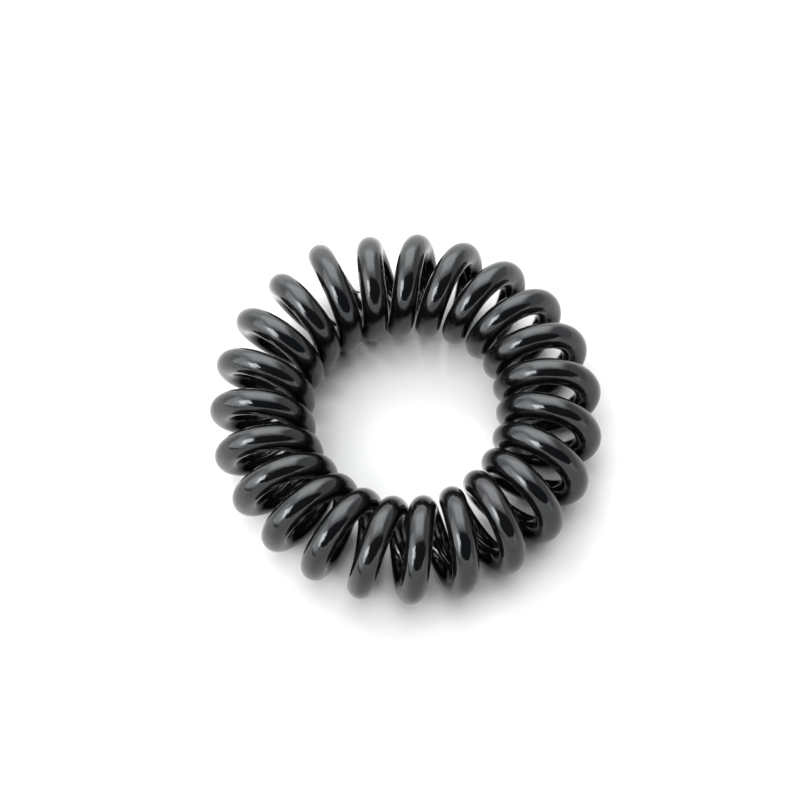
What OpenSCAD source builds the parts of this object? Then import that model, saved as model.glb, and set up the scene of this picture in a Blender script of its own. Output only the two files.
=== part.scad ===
// Spiral hair tie. One round cord is coiled into a spiral, and its two ends are
// welded together, so that the spiral closes into a soft ring. The ring lies flat:
// its axis is upright, and each turn touches the surface with its underside.
// Sizes are in millimetres. The origin is on the surface, under the middle of the ring.

/* [Ring] */
// Diameter of the hole between the inner ends of the turns
hole_d = 24.6; // [20:0.1:32]
// Width of the coil across the ring, over the cord
coil_w = 14.1; // [10:0.1:18]
// Height of the coil as the ring lies, over the cord
coil_h = 15; // [10:0.1:18]

/* [Cord] */
// Diameter of the cord
cord_d = 3.55; // [2.5:0.05:4.2]
// Room that each turn has at the hole beside the cord itself
turn_gap = 0.25; // [0.2:0.05:1]

/* [Weld] */
// Place of the weld round the ring, in degrees counterclockwise from the right
weld_place = 107; // [0:1:359]
// Place of the weld round its turn, in degrees from the turn's outer end over its top
weld_face = 255; // [200:1:300]
// Length of the weld along the cord
weld_l = 1.2; // [0.6:0.1:2]
// How far the weld swells past the cord's surface
weld_swell = 0.08; // [0:0.01:0.2]
// How far the thin flash stands out of the weld
flash_h = 0.5; // [0:0.05:0.8]
// How far the turn that starts at the weld stands out of the ring
weld_kick = 1; // [0:0.1:1.5]

/* [Hidden] */

// How this ring has settled: a row for each eighth of the way round, counterclockwise
// from the right. The columns are shares chosen by hand:
//   spread  how far the turns are moved on along the ring, as a share of a turn
//   out     how far the coil is moved outward, as a share of its width
//   size    how much larger the turns are, as a share of their own size
//   lean    how far a turn's top is ahead of its middle, as a share of a turn
//   twist   how far a turn's outer end is ahead of its middle, as a share of a turn
SETTLED = [
    // spread   out   size   lean  twist
    [   0.01, -0.01,  0.02, -0.03, -0.04],
    [   0.01,  0.01, -0.03, -0.04, -0.03],
    [   0.01, -0.01,  0.01, -0.05,  0.01],
    [  -0.03,  0.04,  0.04, -0.01,  0.07],
    [   0.00,  0.00,  0.01, -0.08,  0.00],
    [  -0.02, -0.02,  0.01, -0.09, -0.03],
    [  -0.03,  0.00,  0.00, -0.03, -0.02],
    [   0.01, -0.01,  0.01, -0.04,  0.00],
];

// Shape of the weld, in rows from its start to its end:
// [place along it from -1 to 1, share of the swelling, share of the flash]
WELD = [
    [-1.0, 0, 0],
    [-0.5, 1, 0],
    [ 0.0, 1, 1],
    [ 0.5, 1, 0],
    [ 1.0, 0, 0],
];

ring_r = (hole_d + coil_w) / 2;      // from the ring's axis to the middle of the coil
arm_w = (coil_w - cord_d) / 2;       // from there to the middle of the cord, across
arm_h = (coil_h - cord_d) / 2;       // the same, upright
turns = floor(PI * (hole_d + cord_d) / (cord_d + turn_gap));
turn_l = PI * (arm_w + arm_h);       // length of the cord in one turn, nearly
turn_angle = 360 / turns;            // of the ring, for one turn
kick_end = 2 * (360 - weld_face) / 360;

sides = 12;                          // of the cord's section
triangles = 11500;                   // about the most that the surface is cut into
steps = 4 * floor(triangles / (turns * sides * 2) / 4);
flash_side = 9;                      // corner of the section that the flash is on
tangent_step = 0.002;                // share of a turn that a direction is taken over

function unit(v) = v / norm(v);

// Row of the table, where the row after the last is the first again
function settled(i) = SETTLED[(i + len(SETTLED)) % len(SETTLED)];

// Smooth curve through the rows a, b, c and d, from b at t = 0 to c at t = 1
function smooth(a, b, c, d, t) =
    b + t / 2 * (c - a + t * (2 * a - 5 * b + 4 * c - d + t * (3 * (b - c) + d - a)));

// The table's columns at any place round the ring
function settled_at(place) =
    let (rows = place / 360 * len(SETTLED), i = floor(rows))
    smooth(settled(i - 1), settled(i), settled(i + 1), settled(i + 2), rows - i);

// Rises from 0 at the weld to 1 at the first outer end, and falls to 0 again
function kick(turn) =
    let (t = (turn + turns) % turns)
    t < kick_end ? pow(sin(180 * t / kick_end), 2) : 0;

// Point on the middle line of the cord, a number of turns on from the weld.
// With arm = 0 it is the point of the coil's own middle line that it turns about.
function cord_line(turn, arm = 1) =
    let (
        place = weld_place + turn_angle * turn,
        face = weld_face + 360 * turn,
        row = settled_at(place),
        spread = row[0], out = row[1], size = row[2], lean = row[3], twist = row[4],
        angle = place + turn_angle * (spread + lean * sin(face) + twist * cos(face)),
        reach = arm * ((1 + size) * arm_w * cos(face) + weld_kick * kick(turn)),
        r = ring_r + out * coil_w + reach,
        z = cord_d / 2 + (1 + size) * arm_h * (1 + arm * sin(face))
    )
    [r * cos(angle), r * sin(angle), z];

// Corners of the cord's section there, swollen and with its flash by the given shares
function section(turn, swell, flash) =
    let (
        middle = cord_line(turn),
        way = unit(cord_line(turn + tangent_step) - cord_line(turn - tangent_step)),
        arm = middle - cord_line(turn, arm = 0),
        outward = unit(arm - (arm * way) * way),
        sideways = cross(way, outward)
    )
    [for (k = [0 : sides - 1])
        let (
            r = cord_d / 2 + swell * weld_swell + (k == flash_side ? flash * flash_h : 0),
            corner = 360 * k / sides
        )
        middle + r * (cos(corner) * outward + sin(corner) * sideways)];

// Sections all the way round, as [turn, swell, flash]. The plain ones stand at equal
// steps from each turn's lowest point, and the weld's own rows close the ring.
weld_turn = weld_l / 2 / turn_l;
first_low = (270 - weld_face) / 360;
plain_sections = [
    for (k = [-steps : steps * turns])
        let (turn = first_low + k / steps)
        if (turn > 2 * weld_turn && turn < turns - 2 * weld_turn) [turn, 0, 0]
];
weld_sections = [for (row = WELD) [turns + row[0] * weld_turn, row[1], row[2]]];
sections = concat(plain_sections, weld_sections);

corners = [for (s = sections) each section(s[0], s[1], s[2])];
xs = [for (p = corners) p.x];
ys = [for (p = corners) p.y];
box_middle = [(min(xs) + max(xs)) / 2, (min(ys) + max(ys)) / 2, 0];

// Skin between each section and the next, two triangles for each side
skin = [
    for (i = [0 : len(sections) - 1], k = [0 : sides - 1])
        let (
            this = i * sides,
            next = (i + 1) % len(sections) * sides,
            right = (k + 1) % sides
        )
        each [
            [this + k, next + right, this + right],
            [this + k, next + k, next + right]
        ]
];

// The whole hair tie: the coiled cord, closed at its weld
module spiral_cord() {
    color([0.05, 0.05, 0.055])
        polyhedron(points = [for (p = corners) p - box_middle], faces = skin);
}

spiral_cord();
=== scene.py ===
# %% [markdown]
# # A spiral hair tie
# This lesson builds one spiral hair tie: a round black plastic cord, coiled like a
# telephone cord and welded end to end, so that the coil closes into a soft ring. Its
# shape follows a rule, so Geometry Nodes draw it from a few sizes, and its gloss is
# made with shader nodes.
#
# The same hair tie exists as a plain solid model. It is loaded first, as a fixed frame,
# and the detailed cord is then built in its place and at its size.

import math

import bmesh
import bpy
from mathutils import Matrix, Vector


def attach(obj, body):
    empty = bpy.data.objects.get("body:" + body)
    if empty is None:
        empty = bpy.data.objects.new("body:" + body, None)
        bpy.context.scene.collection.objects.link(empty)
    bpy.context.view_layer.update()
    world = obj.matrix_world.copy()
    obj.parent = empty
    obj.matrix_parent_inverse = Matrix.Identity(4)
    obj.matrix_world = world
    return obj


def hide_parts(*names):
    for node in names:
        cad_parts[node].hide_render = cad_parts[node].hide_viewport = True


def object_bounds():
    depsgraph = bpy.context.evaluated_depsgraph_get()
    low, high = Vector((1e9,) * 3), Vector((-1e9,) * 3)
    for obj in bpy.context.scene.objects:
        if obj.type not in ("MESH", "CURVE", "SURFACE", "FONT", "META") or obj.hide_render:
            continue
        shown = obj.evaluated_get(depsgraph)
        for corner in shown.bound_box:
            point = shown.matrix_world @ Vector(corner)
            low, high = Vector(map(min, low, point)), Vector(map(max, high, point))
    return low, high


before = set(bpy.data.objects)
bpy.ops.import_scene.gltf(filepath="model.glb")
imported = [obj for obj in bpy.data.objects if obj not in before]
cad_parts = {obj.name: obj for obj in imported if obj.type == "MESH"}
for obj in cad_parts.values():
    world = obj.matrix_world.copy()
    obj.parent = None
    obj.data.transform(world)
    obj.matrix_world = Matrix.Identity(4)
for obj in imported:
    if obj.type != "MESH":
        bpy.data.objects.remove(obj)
scene = bpy.context.scene
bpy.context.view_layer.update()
MM = 0.001

# %% [markdown]
# ## Camera
# The ring lies on a table and is seen from high in front, through a long lens, so near
# and far turns look almost equally large. The camera is also turned a little about its
# line of sight. A Blender camera looks along its own -Z with its +Y up, so its matrix
# is put together from three directions, and no angles have to be converted.
#
# The camera's numbers, and further on the cord's sizes, were fitted by a separate
# program, which varied a spiral and its camera until the outline covered the ring's in
# the photo.

# %% Camera
PHOTO_SIDE = 800  # pixels
VIEW_ELEVATION = math.radians(67.52)
VIEW_ROLL = math.radians(-4.95)
VIEW_DISTANCE = 0.2472
VIEW_TARGET = Vector((0.00003, 0.00006, 0.0075))
VIEW_CENTRE = (406.26, 413.7)  # pixel that the target falls on, from the top left
SENSOR = 36.0  # mm, as the lens
LENS = 82.64

sight = Vector((0, math.cos(VIEW_ELEVATION), -math.sin(VIEW_ELEVATION)))
level_right = Vector((1, 0, 0))
level_up = level_right.cross(sight)
right = math.cos(VIEW_ROLL) * level_right + math.sin(VIEW_ROLL) * level_up
up = right.cross(sight)

camera_data = bpy.data.cameras.new("photo_camera")
camera_data.lens = LENS
camera_data.sensor_width = SENSOR
camera_data.shift_x = 0.5 - VIEW_CENTRE[0] / PHOTO_SIDE
camera_data.shift_y = VIEW_CENTRE[1] / PHOTO_SIDE - 0.5
camera_data.clip_start = 0.01
camera_data.clip_end = 20.0
camera = bpy.data.objects.new("photo_camera", camera_data)
camera_turn = Matrix((right, up, -sight)).transposed().to_4x4()
camera.matrix_world = Matrix.Translation(VIEW_TARGET - VIEW_DISTANCE * sight) @ camera_turn
scene.collection.objects.link(camera)
scene.camera = camera
print("camera at", [round(v, 4) for v in camera.location])

# %% [markdown]
# ## Formulas in node trees
# A node tree can hold a formula, with one Math node for each sign, but wiring those by
# hand makes long code that hides the formula. So a small class stands for the output of
# a node: adding or multiplying two of them puts the Math node into the tree. The same
# class works in Geometry Nodes, in materials and in the world.


# %% A class for formulas
def feed(socket, value):
    """Links a field to an input, or sets the input to a plain value."""
    if isinstance(value, Field):
        value.tree.links.new(value.socket, socket)
    else:
        socket.default_value = value


def add_node(tree, kind, settings=(), inputs=()):
    """Adds a node, sets its properties, and fills its inputs by name or number."""
    node = tree.nodes.new(kind)
    for name, value in dict(settings).items():
        setattr(node, name, value)
    for name, value in dict(inputs).items():
        feed(node.inputs[name], value)
    return node


def calc(operation, *values):
    """The result of one Math node, or of one Vector Math node if a vector is given."""
    fields = [v for v in values if isinstance(v, Field)]
    vector = any(f.socket.type == "VECTOR" for f in fields)
    kind = "ShaderNodeVectorMath" if vector else "ShaderNodeMath"
    inputs = dict(enumerate(values))
    if operation == "SCALE":
        inputs = {"Vector": values[0], "Scale": values[1]}
    node = add_node(fields[0].tree, kind, {"operation": operation}, inputs)
    return Field(next(s for s in node.outputs if s.enabled))


class Field:
    """The output of a node, as a term of a formula."""

    def __init__(self, socket):
        self.socket = socket
        self.tree = socket.id_data

    def __add__(self, other):
        return calc("ADD", self, other)

    def __sub__(self, other):
        return calc("SUBTRACT", self, other)

    def __rsub__(self, other):
        return calc("SUBTRACT", other, self)

    def __mul__(self, other):
        vector = self.socket.type == "VECTOR"
        return calc("SCALE" if vector else "MULTIPLY", self, other)

    def __truediv__(self, other):
        return calc("DIVIDE", self, other)

    def __rtruediv__(self, other):
        return calc("DIVIDE", other, self)

    __radd__ = __add__
    __rmul__ = __mul__


print("formula class ready")


# %% Slopes and vectors as formulas
def rise(value, low, high):
    """0 up to low, 1 from high on, and a smooth slope between them."""
    settings = {"interpolation_type": "SMOOTHSTEP"}
    inputs = {"Value": value, "From Min": low, "From Max": high}
    return Field(add_node(value.tree, "ShaderNodeMapRange", settings, inputs).outputs[0])


def vector(tree, x, y, z):
    """A vector from three numbers or fields."""
    node = add_node(tree, "ShaderNodeCombineXYZ", {}, {"X": x, "Y": y, "Z": z})
    return Field(node.outputs[0])


def parts_of(field):
    """The three numbers of a vector or a colour."""
    node = add_node(field.tree, "ShaderNodeSeparateXYZ", {}, {0: field})
    return [Field(socket) for socket in node.outputs]


print("slopes and vectors ready")

# %% [markdown]
# ## Node groups
# A group is a tree with named inputs and outputs that can be used many times. Its
# sockets are made on the tree's interface, and the Group Input node then offers the
# inputs as fields.


# %% Helpers for groups
FLOAT = "NodeSocketFloat"
INTEGER = "NodeSocketInt"
VECTOR = "NodeSocketVector"
COLOUR = "NodeSocketColor"
TEXT = "NodeSocketString"
GEOMETRY = "NodeSocketGeometry"
MATERIAL = "NodeSocketMaterial"


def new_group(name, tree_kind, inputs, outputs):
    """A tree with the given sockets, and its inputs as fields by name."""
    tree = bpy.data.node_groups.new(name, tree_kind)
    for in_out, sockets in (("INPUT", inputs), ("OUTPUT", outputs)):
        for label, kind in sockets:
            tree.interface.new_socket(label, in_out=in_out, socket_type=kind)
    entry = tree.nodes.new("NodeGroupInput")
    return tree, {s.name: Field(s) for s in entry.outputs if s.name}


def end_group(tree, results):
    """Links a group's results to its outputs."""
    add_node(tree, "NodeGroupOutput", {}, results)
    print(f"group {tree.name}: {len(tree.nodes)} nodes")


def use_group(tree, group, inputs):
    """Places a group in a tree and returns its outputs as fields by name."""
    kind = tree.bl_idname.replace("Tree", "Group")
    node = add_node(tree, kind, {"node_tree": group}, inputs)
    return {s.name: Field(s) for s in node.outputs}


print("group helpers ready")

# %% [markdown]
# ## How the ring has settled
# A real coil is never quite even: its turns stand closer in one place, lean in another,
# and one side is a little fuller. Eight rows, one for each eighth of the way round,
# say how far this ring departs from a perfect one, in shares of a turn, of the coil's
# width or of the turns' own size. The rows become the points of a small mesh and the
# columns become its attributes, because Geometry Nodes can read a table in that form.
#
# The shares weren't chosen by hand. They are the results of such a fit as the camera's,
# rounded to hundredths, and two of them, in the fourth row, were changed by trial.

# %% Table of the settled ring
SETTLED_COLUMNS = ("spread", "out", "size", "lean", "twist")
SETTLED = [
    (0.01, -0.01, 0.02, -0.03, -0.04),
    (0.01, 0.01, -0.03, -0.04, -0.03),
    (0.01, -0.01, 0.01, -0.05, 0.01),
    (-0.03, 0.04, 0.04, -0.01, 0.07),
    (0.00, 0.00, 0.01, -0.08, 0.00),
    (-0.02, -0.02, 0.01, -0.09, -0.03),
    (-0.03, 0.00, 0.00, -0.03, -0.02),
    (0.01, -0.01, 0.01, -0.04, 0.00),
]

settled_table = bpy.data.meshes.new("settled_table")
settled_table.from_pydata([(row, 0, 0) for row in range(len(SETTLED))], [], [])
for column, name in enumerate(SETTLED_COLUMNS):
    shares = settled_table.attributes.new(name, "FLOAT", "POINT")
    shares.data.foreach_set("value", [row[column] for row in SETTLED])
print("settled table:", len(SETTLED), "rows of", len(SETTLED_COLUMNS), "columns")

# %% [markdown]
# Between two rows the value follows a smooth curve through the four nearest rows, a
# Catmull-Rom curve. It passes through every row and has no kinks, and after the last
# row comes the first again, as the ring is closed.

# %% Group that reads one column at any place round the ring
settled_at, given = new_group(
    "settled_at",
    "GeometryNodeTree",
    [("Table", GEOMETRY), ("Column", TEXT), ("Place", FLOAT)],
    [("Value", FLOAT)],
)
column_value = Field(
    add_node(
        settled_at,
        "GeometryNodeInputNamedAttribute",
        {"data_type": "FLOAT"},
        {"Name": given["Column"]},
    ).outputs["Attribute"]
)
row_place = given["Place"] * (len(SETTLED) / math.tau)
row_below = calc("FLOOR", row_place)


def row_value(step):
    """The column's value in the row that is a number of steps past the one below."""
    row = calc("FLOORED_MODULO", row_below + step, float(len(SETTLED)))
    inputs = {"Geometry": given["Table"], "Value": column_value, "Index": row}
    return Field(add_node(settled_at, "GeometryNodeSampleIndex", {}, inputs).outputs[0])


a, b, c, d = (row_value(step) for step in (-1, 0, 1, 2))
t = row_place - row_below
bend = 2 * a - 5 * b + 4 * c - d + t * (3 * (b - c) + d - a)
end_group(settled_at, {"Value": b + t / 2 * (c - a + t * bend)})

# %% [markdown]
# ## The line of the cord
# The middle of the cord runs round the coil while the coil runs round the ring. A turn
# number says how far along it a point is: whole numbers are full turns on from the
# weld. The arm reaches from the middle of the coil to the cord. With an arm of 0 the
# same group gives the middle of the coil, which is needed to know which way is out.

# %% Group for a point on the cord's middle line
SIZES = (
    "Hole diameter",
    "Coil width",
    "Coil height",
    "Cord diameter",
    "Turns",
    "Weld place",
    "Weld face",
    "Weld kick",
)
cord_line, given = new_group(
    "cord_line",
    "GeometryNodeTree",
    [("Table", GEOMETRY), ("Turn", FLOAT), ("Arm", FLOAT)] + [(s, FLOAT) for s in SIZES],
    [("Point", VECTOR)],
)
turn, arm, turns = given["Turn"], given["Arm"], given["Turns"]
turn_share = calc("FLOORED_MODULO", turn, turns)
place = given["Weld place"] + math.tau * turn_share / turns
face = given["Weld face"] + math.tau * calc("FRACT", turn_share)
sin_face, cos_face = calc("SINE", face), calc("COSINE", face)
spread, out, size, lean, twist = (
    use_group(
        cord_line, settled_at, {"Table": given["Table"], "Column": name, "Place": place}
    )["Value"]
    for name in SETTLED_COLUMNS
)
angle = place + math.tau / turns * (spread + lean * sin_face + twist * cos_face)

kick_end = 2 - given["Weld face"] / math.pi
kick = calc("POWER", calc("SINE", math.pi * turn_share / kick_end), 2.0)
kick = kick * calc("LESS_THAN", turn_share, kick_end) * given["Weld kick"]

arm_width = (given["Coil width"] - given["Cord diameter"]) / 2
arm_height = (given["Coil height"] - given["Cord diameter"]) / 2
reach = arm * ((1 + size) * arm_width * cos_face + kick)
radius = (given["Hole diameter"] + given["Coil width"]) / 2 + out * given["Coil width"] + reach
height = given["Cord diameter"] / 2 + (1 + size) * arm_height * (1 + arm * sin_face)
point = vector(cord_line, radius * calc("COSINE", angle), radius * calc("SINE", angle), height)
end_group(cord_line, {"Point": point})

# %% [markdown]
# ## Materials' shared effects
# Plastic that has been handled is never perfectly clean or even. Three effects are made
# once, as shader groups: a slow change of gloss, a slightly uneven skin, and a few specks
# of dust. The cord uses all three, and the table uses the first, each at its own scale.
#
# The groups only give numbers. The Principled shader stays in the material itself.


# %% Shader group for a change of gloss
def noise(place, scale, detail, seed=0.0):
    """Cloudy noise about 0.5, which a seed makes different from other noise."""
    inputs = {"Vector": place, "W": seed, "Scale": scale, "Detail": detail}
    node = add_node(place.tree, "ShaderNodeTexNoise", {"noise_dimensions": "4D"}, inputs)
    return Field(node.outputs[0])


GLOSS_SLOPE = (0.35, 0.7)  # of the noise, from the least roughness to the most

gloss_change, given = new_group(
    "gloss_change",
    "ShaderNodeTree",
    [("Place", VECTOR), ("Scale", FLOAT), ("Least", FLOAT), ("Most", FLOAT)],
    [("Roughness", FLOAT)],
)
share = rise(noise(given["Place"], given["Scale"], detail=4.0), *GLOSS_SLOPE)
end_group(
    gloss_change,
    {"Roughness": given["Least"] + share * (given["Most"] - given["Least"])},
)

# %% Shader group for an uneven skin
FINE_SCALE = 7.0  # of the slow waves' scale

uneven_skin, given = new_group(
    "uneven_skin",
    "ShaderNodeTree",
    [("Place", VECTOR), ("Scale", FLOAT), ("Fine share", FLOAT)],
    [("Height", FLOAT)],
)
slow = noise(given["Place"], given["Scale"], detail=1.0, seed=3.0)
fine = noise(given["Place"], given["Scale"] * FINE_SCALE, detail=2.0, seed=5.0)
end_group(uneven_skin, {"Height": slow + fine * given["Fine share"]})

# %% Shader group for specks of dust
SMALLEST_SPECK = 0.4  # of the given size
SPECK_CORE = 0.5  # of a speck, inside its soft edge

dust_specks, given = new_group(
    "dust_specks",
    "ShaderNodeTree",
    [("Place", VECTOR), ("Spacing", FLOAT), ("Size", FLOAT), ("Amount", FLOAT)],
    [("Mask", FLOAT)],
)
cells = add_node(
    dust_specks,
    "ShaderNodeTexVoronoi",
    {},
    {"Vector": given["Place"], "Scale": 1 / given["Spacing"]},
)
cell_distance = Field(cells.outputs["Distance"]) * given["Spacing"]
cell_random = parts_of(Field(cells.outputs["Color"]))
speck_size = given["Size"] * (SMALLEST_SPECK + cell_random[1])
dusty = calc("LESS_THAN", cell_random[0], given["Amount"])
speck = 1 - rise(cell_distance, speck_size * SPECK_CORE, speck_size)
end_group(dust_specks, {"Mask": speck * dusty})

# %% [markdown]
# ## The glossy black plastic
# The cord is soft polyurethane, coloured black all through. It has no lacquer: it came
# out of a warm nozzle with a skin like polished rubber, so it is one Principled shader,
# very dark and with a low roughness. The patterns follow the cord and not the ring, so
# they read an attribute that the cord's mesh carries: the place on the cord as if it
# were pulled straight. At the weld the skin melted and set again, and is duller there.


# %% Helpers for materials
def new_material(name):
    """A material, its tree and its Principled shader."""
    material = bpy.data.materials.new(name)
    material.use_nodes = True
    tree = material.node_tree
    return material, tree, tree.nodes["Principled BSDF"]


def attribute(tree, name, output):
    """A value that a mesh carries, as a field."""
    node = add_node(tree, "ShaderNodeAttribute", {"attribute_name": name})
    return Field(node.outputs[output])


def mix_colour(tree, share, first, second):
    """Mixes two colours. The node has sockets of each type, and 6, 7 and 2 are colours."""
    node = add_node(tree, "ShaderNodeMix", {"data_type": "RGBA"}, {0: share, 6: first, 7: second})
    return Field(node.outputs[2])


print("material helpers ready")

# %% Material of the cord
BLACK = (0.0030, 0.0033, 0.0038, 1.0)
BLACK_WARM = (0.0036, 0.0034, 0.0034, 1.0)
DUST = (0.30, 0.29, 0.27, 1.0)
DUST_COVER = 0.6
DUST_ROUGHNESS = 0.4
SCUFF_STRETCH = 0.25  # less change along the cord than round it
SCUFF_SLOPE = (0.52, 0.72)  # of the noise, from no scuff to a full one
SCUFF_ROUGHNESS = 0.12
WELD_ROUGHNESS = 0.18
TINT_SLOPE = (0.35, 0.65)  # of the noise, from black to warm black
PLASTIC_IOR = 1.5
SKIN_BUMP = 0.06 * MM

cord_plastic, tree, shader = new_material("glossy_black_soft_plastic")
on_cord = attribute(tree, "straight_cord", "Vector")
weld_mask = attribute(tree, "weld_mask", "Fac")
gloss = use_group(
    tree, gloss_change, {"Place": on_cord, "Scale": 0.35, "Least": 0.05, "Most": 0.11}
)["Roughness"]
skin = use_group(tree, uneven_skin, {"Place": on_cord, "Scale": 0.6, "Fine share": 0.18})["Height"]
dust = use_group(
    tree, dust_specks, {"Place": on_cord, "Spacing": 2.2, "Size": 0.08, "Amount": 0.15}
)["Mask"]
tint = rise(noise(on_cord, scale=0.2, detail=2.0, seed=9.0), *TINT_SLOPE)
colour = mix_colour(tree, tint, BLACK, BLACK_WARM)
feed(shader.inputs["Base Color"], mix_colour(tree, dust * DUST_COVER, colour, DUST))
on_scuffs = on_cord * vector(tree, SCUFF_STRETCH, 1.0, 1.0)
scuffs = rise(noise(on_scuffs, scale=1.8, detail=3.0, seed=7.0), *SCUFF_SLOPE)
roughness = gloss + scuffs * SCUFF_ROUGHNESS + weld_mask * WELD_ROUGHNESS
feed(shader.inputs["Roughness"], roughness + dust * DUST_ROUGHNESS)
shader.inputs["IOR"].default_value = PLASTIC_IOR
bump = add_node(
    tree, "ShaderNodeBump", {}, {"Strength": 1.0, "Distance": SKIN_BUMP, "Height": skin}
)
feed(shader.inputs["Normal"], Field(bump.outputs[0]))
print("material", cord_plastic.name)

# %% [markdown]
# ## The cord's skin
# The cord is a long tube. A flat grid becomes that tube: one direction of the grid runs
# along the cord, the other round it, and each point is moved to its place. At each
# point the line's direction, and the direction out from the middle of the coil, give
# the section's two axes. The two pairs of edges that then meet are merged, and the
# skin is closed.
#
# A curve with Curve to Mesh could draw the tube as well. The grid was chosen because
# the section's turn about the line stays known, and the weld can be placed on it.

# %% Sizes of the real cord
HOLE_DIAMETER = 24.6 * MM
COIL_WIDTH = 14.1 * MM
COIL_HEIGHT = 15.0 * MM
CORD_DIAMETER = 3.55 * MM
TURNS = 23
WELD_PLACE = math.radians(107)
WELD_FACE = math.radians(255)
WELD_LENGTH = 1.2 * MM
WELD_SWELLING = 0.08 * MM
SWELLING_FULL = 0.2  # of the weld's length, to each side of its middle
SWELLING_END = 0.55  # the same, to where the plain cord goes on
WELD_KICK = 1.0 * MM  # by which the first turn stands out of the ring
WELD_SHIFT = 3.5 * MM  # on along the cord, from where the turns are counted
FLASH_HEIGHT = 0.6 * MM
FLASH_LEAN = -0.45 * MM  # back along the cord
FLASH_THICKNESS = 0.4 * MM
FLASH_WIDTH = math.radians(24)
SKIN_RIPPLE = 0.03 * MM
RIPPLE_SCALE = 0.4  # waves in a millimetre of cord
RIPPLE_SEED = 4
SECTIONS_IN_TURN = 92
SECTIONS_IN_WELD = 24
SIDES = 40
TANGENT_STEP = 0.008  # of a turn
MERGE_DISTANCE = 0.001 * MM
turn_length = math.pi * ((COIL_WIDTH + COIL_HEIGHT) / 2 - CORD_DIAMETER)
print("cord length, mm:", round(TURNS * turn_length / MM), "in", TURNS, "turns")

# %% Tree of the cord: the grid and its numbering
LENGTHS = (
    "Weld shift",
    "Weld length",
    "Weld swelling",
    "Flash height",
    "Flash lean",
    "Flash thickness",
    "Flash width",
    "Skin ripple",
)
COUNTS = ("Sections in a turn", "Sections in the weld", "Sides", "Seed")
spiral_cord, given = new_group(
    "spiral_cord",
    "GeometryNodeTree",
    [("Geometry", GEOMETRY)]
    + [(name, FLOAT) for name in SIZES + LENGTHS]
    + [(name, INTEGER) for name in COUNTS]
    + [("Material", MATERIAL)],
    [("Geometry", GEOMETRY)],
)
turns, sides = given["Turns"], given["Sides"]
plain_rows = turns * given["Sections in a turn"]
weld_rows = given["Sections in the weld"]
grid = add_node(
    spiral_cord,
    "GeometryNodeMeshGrid",
    {},
    {"Vertices X": plain_rows + 2 * weld_rows + 1, "Vertices Y": sides + 1},
)
index = Field(add_node(spiral_cord, "GeometryNodeInputIndex").outputs[0])
row = calc("FLOOR", (index + 0.5) / (sides + 1))
corner = math.tau * (index - row * (sides + 1)) / sides
print("cord tree: numbered grid,", len(spiral_cord.nodes), "nodes")

# %% [markdown]
# The weld is short, and its flash is a thin film that leans back along the cord, so the
# sections stand close together there and wider apart along the rest of the cord. The
# photo shows the flash a little further on along the cord than the place that the turns
# are counted from, so the whole row of sections is shifted on by that length.

# %% Tree of the cord: sections and the weld
turn_length_field = math.pi * (
    (given["Coil width"] + given["Coil height"]) / 2 - given["Cord diameter"]
)
weld_turns = given["Weld length"] / turn_length_field
past_weld = calc("MAXIMUM", row - weld_rows, 0.0)
plain_step = (turns - 2 * weld_turns) / plain_rows
turn = (
    calc("MINIMUM", row, weld_rows) * (weld_turns / weld_rows)
    + calc("MINIMUM", past_weld, plain_rows) * plain_step
    + calc("MAXIMUM", past_weld - plain_rows, 0.0) * (weld_turns / weld_rows)
)
from_weld = calc("MINIMUM", turn, turns - turn) * turn_length_field
full_to, plain_from = (given["Weld length"] * share for share in (SWELLING_FULL, SWELLING_END))
swelling = 1 - rise(from_weld, full_to, plain_from)
off_flash = calc("ABSOLUTE", corner - math.tau / 4)
film_across = calc("MAXIMUM", 1 - off_flash / (given["Flash width"] / 2), 0.0)
film_along = calc("MAXIMUM", 1 - from_weld / (given["Flash thickness"] / 2), 0.0)
film = film_along * film_across
print("cord tree: sections and weld,", len(spiral_cord.nodes), "nodes")

# %% Tree of the cord: places of the section's corners
def line_point(turn, arm):
    """A point of the cord's middle line, or with arm 0 of the coil's."""
    inputs = {name: given[name] for name in SIZES}
    inputs |= {"Table": given["Geometry"], "Turn": turn, "Arm": arm}
    return use_group(spiral_cord, cord_line, inputs)["Point"]


shifted = turn + given["Weld shift"] / turn_length_field
middle = line_point(shifted, 1.0)
next_point = line_point(shifted + TANGENT_STEP, 1.0)
last_point = line_point(shifted - TANGENT_STEP, 1.0)
way = calc("NORMALIZE", next_point - last_point)
arm = middle - line_point(shifted, 0.0)
outward = calc("NORMALIZE", arm - way * calc("DOT_PRODUCT", arm, way))
sideways = calc("CROSS_PRODUCT", outward, way)
cos_corner, sin_corner = calc("COSINE", corner), calc("SINE", corner)

cord_radius = given["Cord diameter"] / 2
straight = vector(
    spiral_cord, turn * turn_length_field, cord_radius * cos_corner, cord_radius * sin_corner
) * (1 / MM)
ripple = noise(straight * RIPPLE_SCALE, scale=1.0, detail=1.0, seed=given["Seed"])
ripple = ripple * rise(from_weld, 0.0, given["Weld length"])
section_radius = (
    cord_radius
    + swelling * given["Weld swelling"]
    + film * given["Flash height"]
    - ripple * given["Skin ripple"]
)
to_corner = outward * cos_corner + sideways * sin_corner
position = middle + to_corner * section_radius + way * (film * given["Flash lean"])
print("cord tree: corners placed,", len(spiral_cord.nodes), "nodes")

# %% [markdown]
# Two things are kept on the grid as attributes, for the material: the place on the
# straight cord, in millimetres, and how near the weld is. Then the grid is moved into
# shape, merged along its edges, and centred over the origin, as the solid model is.

# %% Tree of the cord: keeping values, closing and centring the mesh
def stored(geometry, name, kind, value):
    """The geometry with a value kept on its points under a name."""
    inputs = {"Geometry": geometry, "Name": name, "Value": value}
    node = add_node(
        spiral_cord, "GeometryNodeStoreNamedAttribute", {"data_type": kind}, inputs
    )
    return Field(node.outputs["Geometry"])


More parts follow.
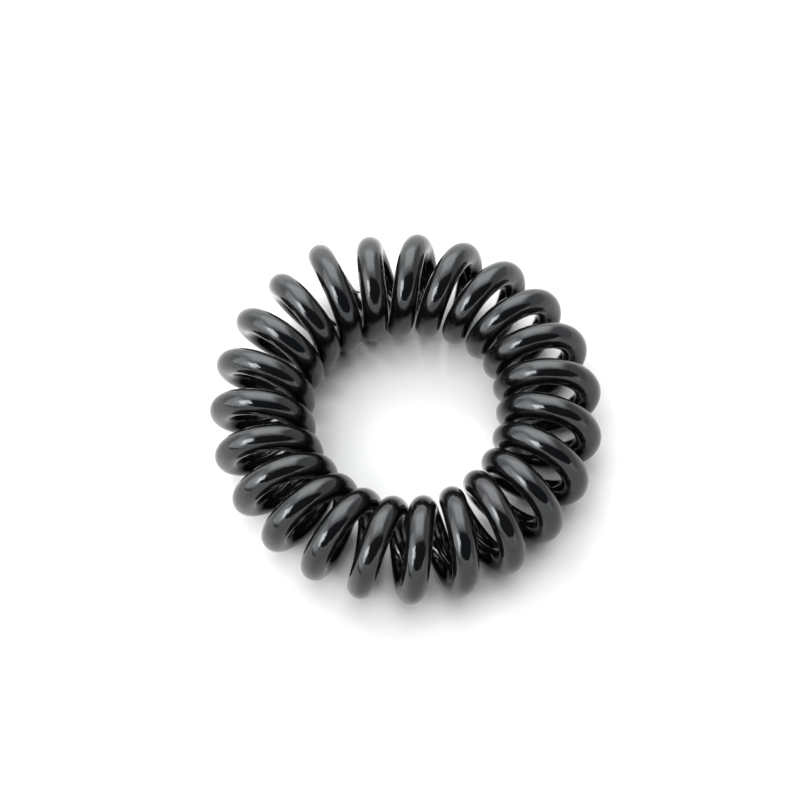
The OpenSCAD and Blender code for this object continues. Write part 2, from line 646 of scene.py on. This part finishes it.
sheet = Field(grid.outputs["Mesh"])
sheet = stored(sheet, "straight_cord", "FLOAT_VECTOR", straight)
sheet = stored(sheet, "weld_mask", "FLOAT", swelling)


def next_node(kind, geometry, inputs=()):
    """Adds a node that changes the geometry, and returns the changed geometry."""
    node = add_node(spiral_cord, kind)
    first = next(s for s in node.inputs if s.type == "GEOMETRY")
    feed(first, geometry)
    for name, value in dict(inputs).items():
        feed(node.inputs[name], value)
    return Field(node.outputs[0])


tube = next_node("GeometryNodeSetPosition", sheet, {"Position": position})
closed = next_node("GeometryNodeMergeByDistance", tube, {"Distance": MERGE_DISTANCE})
box = add_node(spiral_cord, "GeometryNodeBoundBox", {}, {"Geometry": closed})
low_corner, high_corner = Field(box.outputs["Min"]), Field(box.outputs["Max"])
level = vector(spiral_cord, -0.5, -0.5, 0.0)
to_middle = calc("MULTIPLY", low_corner + high_corner, level)
centred = next_node("GeometryNodeSetPosition", closed, {"Offset": to_middle})
smooth = next_node("GeometryNodeSetShadeSmooth", centred)
real = next_node("GeometryNodeRealizeInstances", smooth)
finished = next_node("GeometryNodeSetMaterial", real, {"Material": given["Material"]})
end_group(spiral_cord, {"Geometry": finished})

# %% [markdown]
# ## The cord as a piece
# The tree is a modifier on an object whose mesh is the table. Its inputs are set by
# their identifiers before the first evaluation. The result is then copied to a plain
# mesh, because the piece has to stay as it is from here on.

# %% The cord's mesh
cord = bpy.data.objects.new("coiled_cord", settled_table)
scene.collection.objects.link(cord)
modifier = cord.modifiers.new("spiral_cord", "NODES")
modifier.node_group = spiral_cord
cord_inputs = {
    "Hole diameter": HOLE_DIAMETER,
    "Coil width": COIL_WIDTH,
    "Coil height": COIL_HEIGHT,
    "Cord diameter": CORD_DIAMETER,
    "Turns": float(TURNS),
    "Weld place": WELD_PLACE,
    "Weld face": WELD_FACE,
    "Weld kick": WELD_KICK,
    "Weld shift": WELD_SHIFT,
    "Weld length": WELD_LENGTH,
    "Weld swelling": WELD_SWELLING,
    "Flash height": FLASH_HEIGHT,
    "Flash lean": FLASH_LEAN,
    "Flash thickness": FLASH_THICKNESS,
    "Flash width": FLASH_WIDTH,
    "Skin ripple": SKIN_RIPPLE,
    "Sections in a turn": SECTIONS_IN_TURN,
    "Sections in the weld": SECTIONS_IN_WELD,
    "Sides": SIDES,
    "Seed": RIPPLE_SEED,
    "Material": cord_plastic,
}
for item in spiral_cord.interface.items_tree:
    if item.in_out == "INPUT" and item.name in cord_inputs:
        modifier[item.identifier] = cord_inputs[item.name]

depsgraph = bpy.context.evaluated_depsgraph_get()
cord_mesh = bpy.data.meshes.new_from_object(cord.evaluated_get(depsgraph), depsgraph=depsgraph)
cord.modifiers.clear()
cord_mesh.name = "coiled_cord"
cord.data = cord_mesh
print("cord mesh:", len(cord_mesh.vertices), "points")

# %% Measuring the mesh
measured = bmesh.new()
measured.from_mesh(cord_mesh)
open_edges = sum(not edge.is_manifold for edge in measured.edges)
volume = measured.calc_volume(signed=True)
measured.free()
cord_mesh.calc_loop_triangles()
print("cord:", len(cord_mesh.loop_triangles), "triangles,", open_edges, "open edges")
print("cord volume, cubic mm:", round(volume / MM**3, 1), "(positive: normals outward)")

# %% The cord stands for the solid model's cord
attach(cord, "root")
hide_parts("spiral_cord")
cord_low, cord_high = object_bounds()
print("dressed model, mm:", [round(v / MM, 2) for v in (*cord_low, *cord_high)])

# %% [markdown]
# ## The table
# The ring lies on a white board with a satin face, which isn't part of the object and
# is far larger than the view. Its gloss is wide: where the ring stands before the bright
# wall, the board mirrors the ring only as a soft darker zone along it.

# %% Table top
TABLE_SIDE = 6.0
TABLE_WHITE = (0.72, 0.72, 0.72, 1.0)
TABLE_IOR = 1.49

board, tree, shader = new_material("white_satin_board")
coordinates = add_node(tree, "ShaderNodeTexCoord")
on_table = Field(coordinates.outputs["Object"]) * (1 / MM)
gloss = use_group(
    tree, gloss_change, {"Place": on_table, "Scale": 0.02, "Least": 0.42, "Most": 0.48}
)["Roughness"]
shader.inputs["Base Color"].default_value = TABLE_WHITE
feed(shader.inputs["Roughness"], gloss)
shader.inputs["IOR"].default_value = TABLE_IOR

half = TABLE_SIDE / 2
table_mesh = bpy.data.meshes.new("table_top")
table_mesh.from_pydata(
    [(-half, -half, 0), (half, -half, 0), (half, half, 0), (-half, half, 0)],
    [],
    [(0, 1, 2, 3)],
)
table_mesh.materials.append(board)
table_top = bpy.data.objects.new("table_top", table_mesh)
scene.collection.objects.link(table_top)
print("table top", TABLE_SIDE, "m across")

# %% [markdown]
# ## The light on the table
# Directions in this studio are given by two angles. Pitch goes from the zenith (0) to
# the back (90) or to the front (-90), and side goes from left (-90) to right (90).
#
# Six large lights stand round the table, mostly above it, at the left and behind. Each
# is 26 to 42 degrees wide, and together they are as soft as a light tent, yet the ring
# keeps a darker shadow at the right and in front. The two lights behind shine through
# the hole and in under the front turns, where the table shows bright between them. A
# Sun lamp does this without falling off over the table.
#
# The lights started from a fit too, of single lights to the shadow in the photo, and
# were then joined, rounded and changed by trial.

# %% Lights for the table
TABLE_LIGHTS = {
    # name: pitch, side, width in degrees, strength
    "light_above": (0, -3, 42, 1.4),
    "light_left": (0, -48, 36, 1.6),
    "light_front_left": (-25, -24, 30, 1.05),
    "light_back_right": (22, 26, 34, 0.85),
    "light_behind": (48, -1, 26, 1.4),
    "light_low_behind": (58, -34, 30, 2.1),
}


def direction(pitch, side):
    """The unit vector towards a light, from its angles in degrees."""
    pitch, side = math.radians(pitch), math.radians(side)
    return Vector(
        (math.sin(side), math.cos(side) * math.sin(pitch), math.cos(side) * math.cos(pitch))
    )


for name, (pitch, side, width, strength) in TABLE_LIGHTS.items():
    sun = bpy.data.lights.new(name, "SUN")
    sun.angle = math.radians(width)
    sun.energy = strength
    lamp = bpy.data.objects.new(name, sun)
    lamp.rotation_euler = direction(pitch, side).to_track_quat("Z", "Y").to_euler()
    lamp.visible_glossy = False
    scene.collection.objects.link(lamp)
    print(name, "from", [round(v, 2) for v in direction(pitch, side)])

# %% [markdown]
# ## The studio in the gloss
# A glossy black thing shows little but what stands round it: the picture of the lamps
# in its skin is its whole look. So what the gloss shows is built apart, as a sky in
# which every softbox is a patch with soft edges. It lights nothing: the world's diffuse
# rays are switched off, and the lights of the table don't show in the gloss.

# %% Group for one softbox
BOX_NUMBERS = (
    "From pitch",
    "To pitch",
    "Pitch edge",
    "From side",
    "To side",
    "Side edge",
    "Strength",
)
softbox, given = new_group(
    "softbox",
    "ShaderNodeTree",
    [(name, FLOAT) for name in ("Pitch", "Side") + BOX_NUMBERS] + [("Colour", COLOUR)],
    [("Light", COLOUR)],
)


def between(value, low, high, edge):
    """1 between two angles and 0 outside, over soft edges."""
    return rise(value, low - edge, low + edge) * (1 - rise(value, high - edge, high + edge))


mask = between(given["Pitch"], given["From pitch"], given["To pitch"], given["Pitch edge"])
mask = mask * between(given["Side"], given["From side"], given["To side"], given["Side edge"])
light = add_node(
    softbox,
    "ShaderNodeVectorMath",
    {"operation": "SCALE"},
    {"Vector": given["Colour"], "Scale": mask * given["Strength"]},
)
end_group(softbox, {"Light": Field(light.outputs[0])})

# %% The studio
COOL = (0.965, 1.0, 1.025, 1.0)
BLUE = (0.95, 1.0, 1.06, 1.0)
SOFTBOXES = {
    # name: from pitch, to pitch, edge, from side, to side, edge, strength, colour
    "bank above": (-4, 100, 9, -40, 38, 9, 2.3, COOL),
    "its bright middle": (14, 68, 12, -26, 28, 9, 3.3, COOL),
    "left bank": (-75, 38, 14, -95, -40, 8, 3.9, COOL),
    "left wall behind": (38, 180, 14, -95, -36, 10, 1.5, COOL),
    "right wall": (-180, 180, 8, 42, 95, 10, 0.9, COOL),
    "front wall": (-180, -20, 8, -40, 52, 10, 1.6, COOL),
}
LAMP = {
    "its glow": (-40, 0, 9, -60, -27, 6, 2.2, COOL),
    "its tube": (-38, -10, 2, -47, -25, 1.5, 10.0, BLUE),
    "its low end": (-54, -38, 2, -47, -35, 1.5, 8.0, BLUE),
}

world = bpy.data.worlds.new("studio")
world.use_nodes = True
scene.world = world
tree = world.node_tree
coordinates = add_node(tree, "ShaderNodeTexCoord")
x, y, z = parts_of(Field(coordinates.outputs["Generated"]))
pitch = calc("ARCTAN2", y, z) * math.degrees(1)
side = calc("ARCSINE", x) * math.degrees(1)


def shine(boxes):
    """The light of several softboxes together."""
    total = vector(tree, 0.0, 0.0, 0.0)
    for row in boxes.values():
        inputs = dict(zip(BOX_NUMBERS + ("Colour",), row))
        inputs |= {"Pitch": pitch, "Side": side}
        total = total + use_group(tree, softbox, inputs)["Light"]
    return total


room_light, lamp_light = shine(SOFTBOXES), shine(LAMP)
print("studio of", len(SOFTBOXES) + len(LAMP), "softboxes")

# %% [markdown]
# A black screen stands round the camera, before the walls. It is a dark patch with round
# corners in the front of the sky, and every turn of the cord shows it as a black oval
# with the lamp at its left. The patch is a curve between an ellipse and a rectangle:
# with a power of 2 the sum below gives an ellipse, and a higher power fills its corners.
# Along the lower part of the screen the wall is brighter in a rim.

# %% The dark screen round the camera
PATCH_PITCH = -37.0
PATCH_SIDE = 11.0
PATCH_HALF_HEIGHT = 31.0
PATCH_HALF_WIDTH = 48.0
PATCH_POWER = 2.8
PATCH_EDGE = 0.10  # in the same sum as the rim's width
RIM_WIDTH = 0.5  # in the sum of powers, which is 1 at the patch's edge
RIM_STRENGTH = 0.6
RIM_PITCH = (-60.0, -40.0)  # over which the rim fades out, upwards

across = calc("ABSOLUTE", side - PATCH_SIDE) / PATCH_HALF_WIDTH
along = calc("ABSOLUTE", pitch - PATCH_PITCH) / PATCH_HALF_HEIGHT
from_patch = calc("POWER", across, PATCH_POWER) + calc("POWER", along, PATCH_POWER)
off_patch = rise(from_patch, 1 - PATCH_EDGE, 1 + PATCH_EDGE)
rim = (1 - rise(from_patch, 1.0, 1.0 + RIM_WIDTH)) * (1 - rise(pitch, *RIM_PITCH))
screened_light = room_light * (off_patch * (1 + rim * RIM_STRENGTH))
print("dark screen:", 2 * PATCH_HALF_WIDTH, "by", 2 * PATCH_HALF_HEIGHT, "degrees")

# %% [markdown]
# The lamp stands before the screen, so its light is added after it, and so is the faint
# light of the rest of the room. Only the gloss shows this studio. The camera itself sees
# a plain white backdrop past the edge of the table.

# %% The studio for the gloss, a backdrop for the camera
DIM_ROOM = (0.062, 0.070, 0.080)
BACKDROP = (1.0, 1.0, 1.0, 1.0)

studio = tree.nodes["Background"]
feed(studio.inputs["Color"], screened_light + lamp_light + vector(tree, *DIM_ROOM))
backdrop = add_node(tree, "ShaderNodeBackground", {}, {"Color": BACKDROP})
is_camera = Field(add_node(tree, "ShaderNodeLightPath").outputs["Is Camera Ray"])
either = add_node(
    tree,
    "ShaderNodeMixShader",
    {},
    {0: is_camera, 1: Field(studio.outputs[0]), 2: Field(backdrop.outputs[0])},
)
feed(tree.nodes["World Output"].inputs["Surface"], Field(either.outputs[0]))
world.cycles_visibility.diffuse = False
print("the gloss shows the studio, and the camera a plain backdrop")

# %% [markdown]
# ## Colours as they are
# The standard view shows a light exactly as bright as it is and clips what is brighter
# than white, as a product photo on white does.

# %% View
scene.view_settings.view_transform = "Standard"
scene.view_settings.look = "None"
